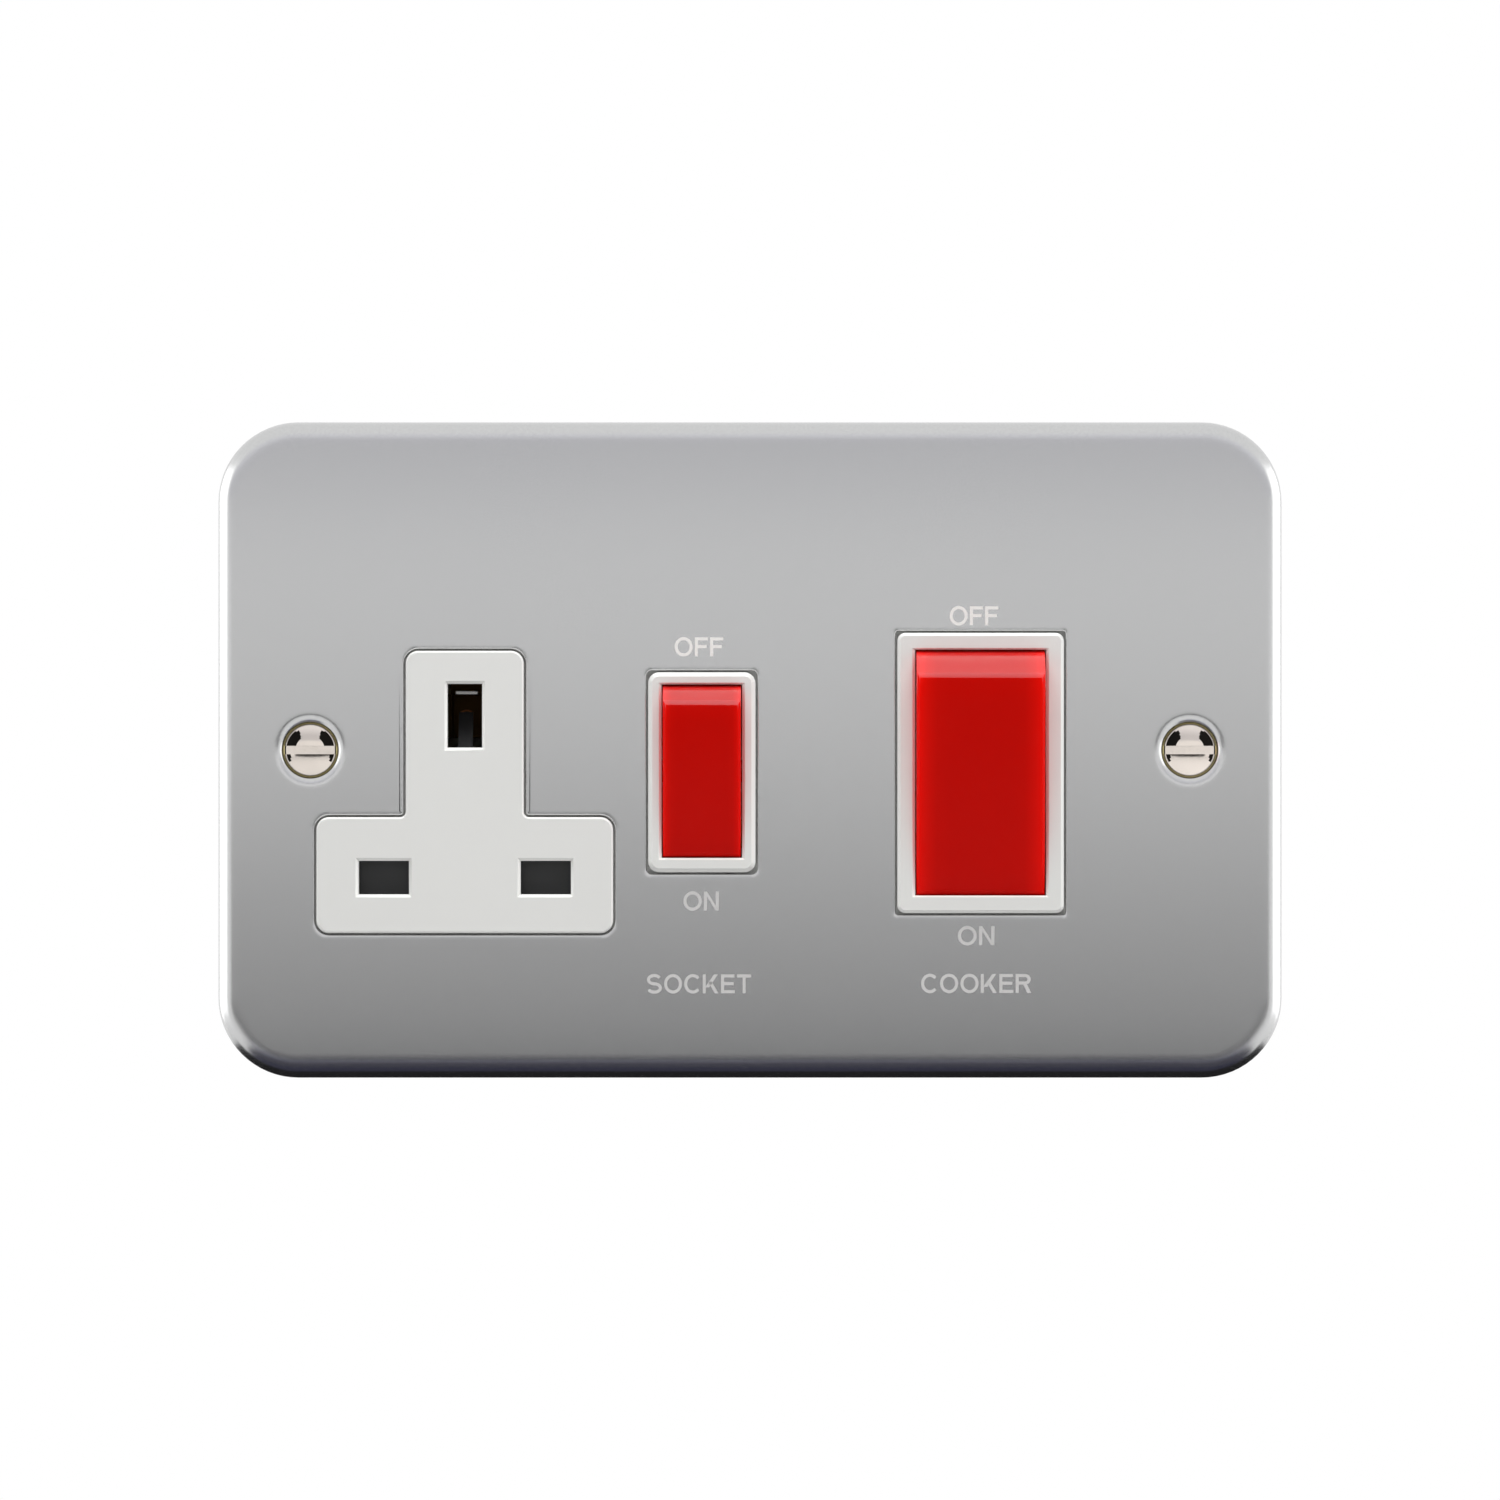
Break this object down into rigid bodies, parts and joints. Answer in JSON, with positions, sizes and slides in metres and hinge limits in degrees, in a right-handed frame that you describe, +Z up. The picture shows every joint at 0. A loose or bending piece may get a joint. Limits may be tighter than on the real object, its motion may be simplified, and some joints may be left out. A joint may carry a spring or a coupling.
{
  "type": "cooker control unit",
  "caption": "Flush wall unit with a switched three-pin socket outlet and a two-pole cooker switch, red rockers on a satin metal plate.",
  "frame": {"origin": "middle of the wall plane, midway between the two fixing screws", "axes": "+X to the right seen from the front, +Y into the wall, +Z up"},
  "size_m": [0.146, 0.0374, 0.09],
  "materials": {
    "satin_metal": "satin",
    "bright_metal": "polished",
    "white_moulding": "satin gloss",
    "rear_moulding": "matt",
    "red_moulding": "gloss",
    "grey_moulding": "matt",
    "nylon": "matt",
    "brass": "plain",
    "copper": "plain",
    "silver": "plain",
    "spring_steel": "drawn wire",
    "plated_steel": "zinc plated"
  },
  "bodies": {
    "housing": {"front_plate": "satin_metal", "retaining_clips": "spring_steel", "fixing_screws": "bright_metal", "socket_front": "white_moulding", "switch_front": "white_moulding", "socket_base": "rear_moulding", "switch_base": "rear_moulding", "shutter_spring": "spring_steel", "live_contact": "brass", "neutral_contact": "brass", "earth_contact": "brass", "earth_strap": "brass", "earth_terminal": "brass", "earth_terminal_screws": "plated_steel", "socket_cradle": "brass", "fixed_tips": "silver", "terminal_screws": "plated_steel", "live_link": "brass", "neutral_link": "brass", "live_cradle": "brass", "live_load_contact": "brass", "live_supply_terminal": "brass", "live_load_terminal": "brass", "neutral_cradle": "brass", "neutral_load_contact": "brass", "neutral_supply_terminal": "brass", "neutral_load_terminal": "brass"},
    "socket_rocker": {"socket_rocker": "red_moulding", "socket_plunger_spring": "spring_steel"},
    "socket_plunger": {"socket_plunger": "nylon"},
    "socket_see_saw": {"socket_moving_contact": "copper", "socket_moving_tip": "silver"},
    "cooker_rocker": {"cooker_rocker": "red_moulding", "live_plunger_spring": "spring_steel", "neutral_plunger_spring": "spring_steel"},
    "live_plunger": {"live_plunger": "nylon"},
    "neutral_plunger": {"neutral_plunger": "nylon"},
    "live_see_saw": {"live_moving_contact": "copper", "live_moving_tip": "silver"},
    "neutral_see_saw": {"neutral_moving_contact": "copper", "neutral_moving_tip": "silver"},
    "shutter": {"shutter": "grey_moulding"}
  },
  "joints": [
    {"name": "socket_rocker_tilt", "type": "hinge", "parent": "housing", "child": "socket_rocker", "pos_m": [-0.0066, -0.001, -0.0029], "axis": [1, 0, 0], "range_deg": [-18, 0]},
    {"name": "socket_plunger_slide", "type": "slide", "parent": "socket_rocker", "child": "socket_plunger", "axis": [0, 0.9877, 0.1564], "range_m": [-0.0015, 0], "stiffness_N_per_m": 400, "springref_m": 0.003, "deforming": ["socket_plunger_spring"]},
    {"name": "socket_see_saw_tip", "type": "hinge", "parent": "housing", "child": "socket_see_saw", "pos_m": [-0.0066, 0.0103, -0.0029], "axis": [1, 0, 0], "range_deg": [0, 12]},
    {"name": "cooker_rocker_tilt", "type": "hinge", "parent": "housing", "child": "cooker_rocker", "pos_m": [0.0316, 0.0018, -0.0031], "axis": [1, 0, 0], "range_deg": [-18, 0]},
    {"name": "live_plunger_slide", "type": "slide", "parent": "cooker_rocker", "child": "live_plunger", "axis": [0, 0.9877, 0.1564], "range_m": [-0.0015, 0], "stiffness_N_per_m": 400, "springref_m": 0.003, "deforming": ["live_plunger_spring"]},
    {"name": "neutral_plunger_slide", "type": "slide", "parent": "cooker_rocker", "child": "neutral_plunger", "axis": [0, 0.9877, 0.1564], "range_m": [-0.0015, 0], "stiffness_N_per_m": 400, "springref_m": 0.003, "deforming": ["neutral_plunger_spring"]},
    {"name": "live_see_saw_tip", "type": "hinge", "parent": "housing", "child": "live_see_saw", "pos_m": [0.0264, 0.0135, -0.0031], "axis": [1, 0, 0], "range_deg": [0, 11]},
    {"name": "neutral_see_saw_tip", "type": "hinge", "parent": "housing", "child": "neutral_see_saw", "pos_m": [0.0368, 0.0135, -0.0031], "axis": [1, 0, 0], "range_deg": [0, 11]},
    {"name": "shutter_slide", "type": "slide", "parent": "housing", "child": "shutter", "axis": [0, 0, -1], "range_m": [0, 0.0062], "stiffness_N_per_m": 80, "springref_m": -0.005, "deforming": ["shutter_spring"]}
  ],
  "couplings": [
    {"joint": "socket_see_saw_tip", "follows": "socket_rocker_tilt", "ratio": -0.66667},
    {"joint": "live_see_saw_tip", "follows": "cooker_rocker_tilt", "ratio": -0.61111},
    {"joint": "neutral_see_saw_tip", "follows": "cooker_rocker_tilt", "ratio": -0.61111}
  ]
}
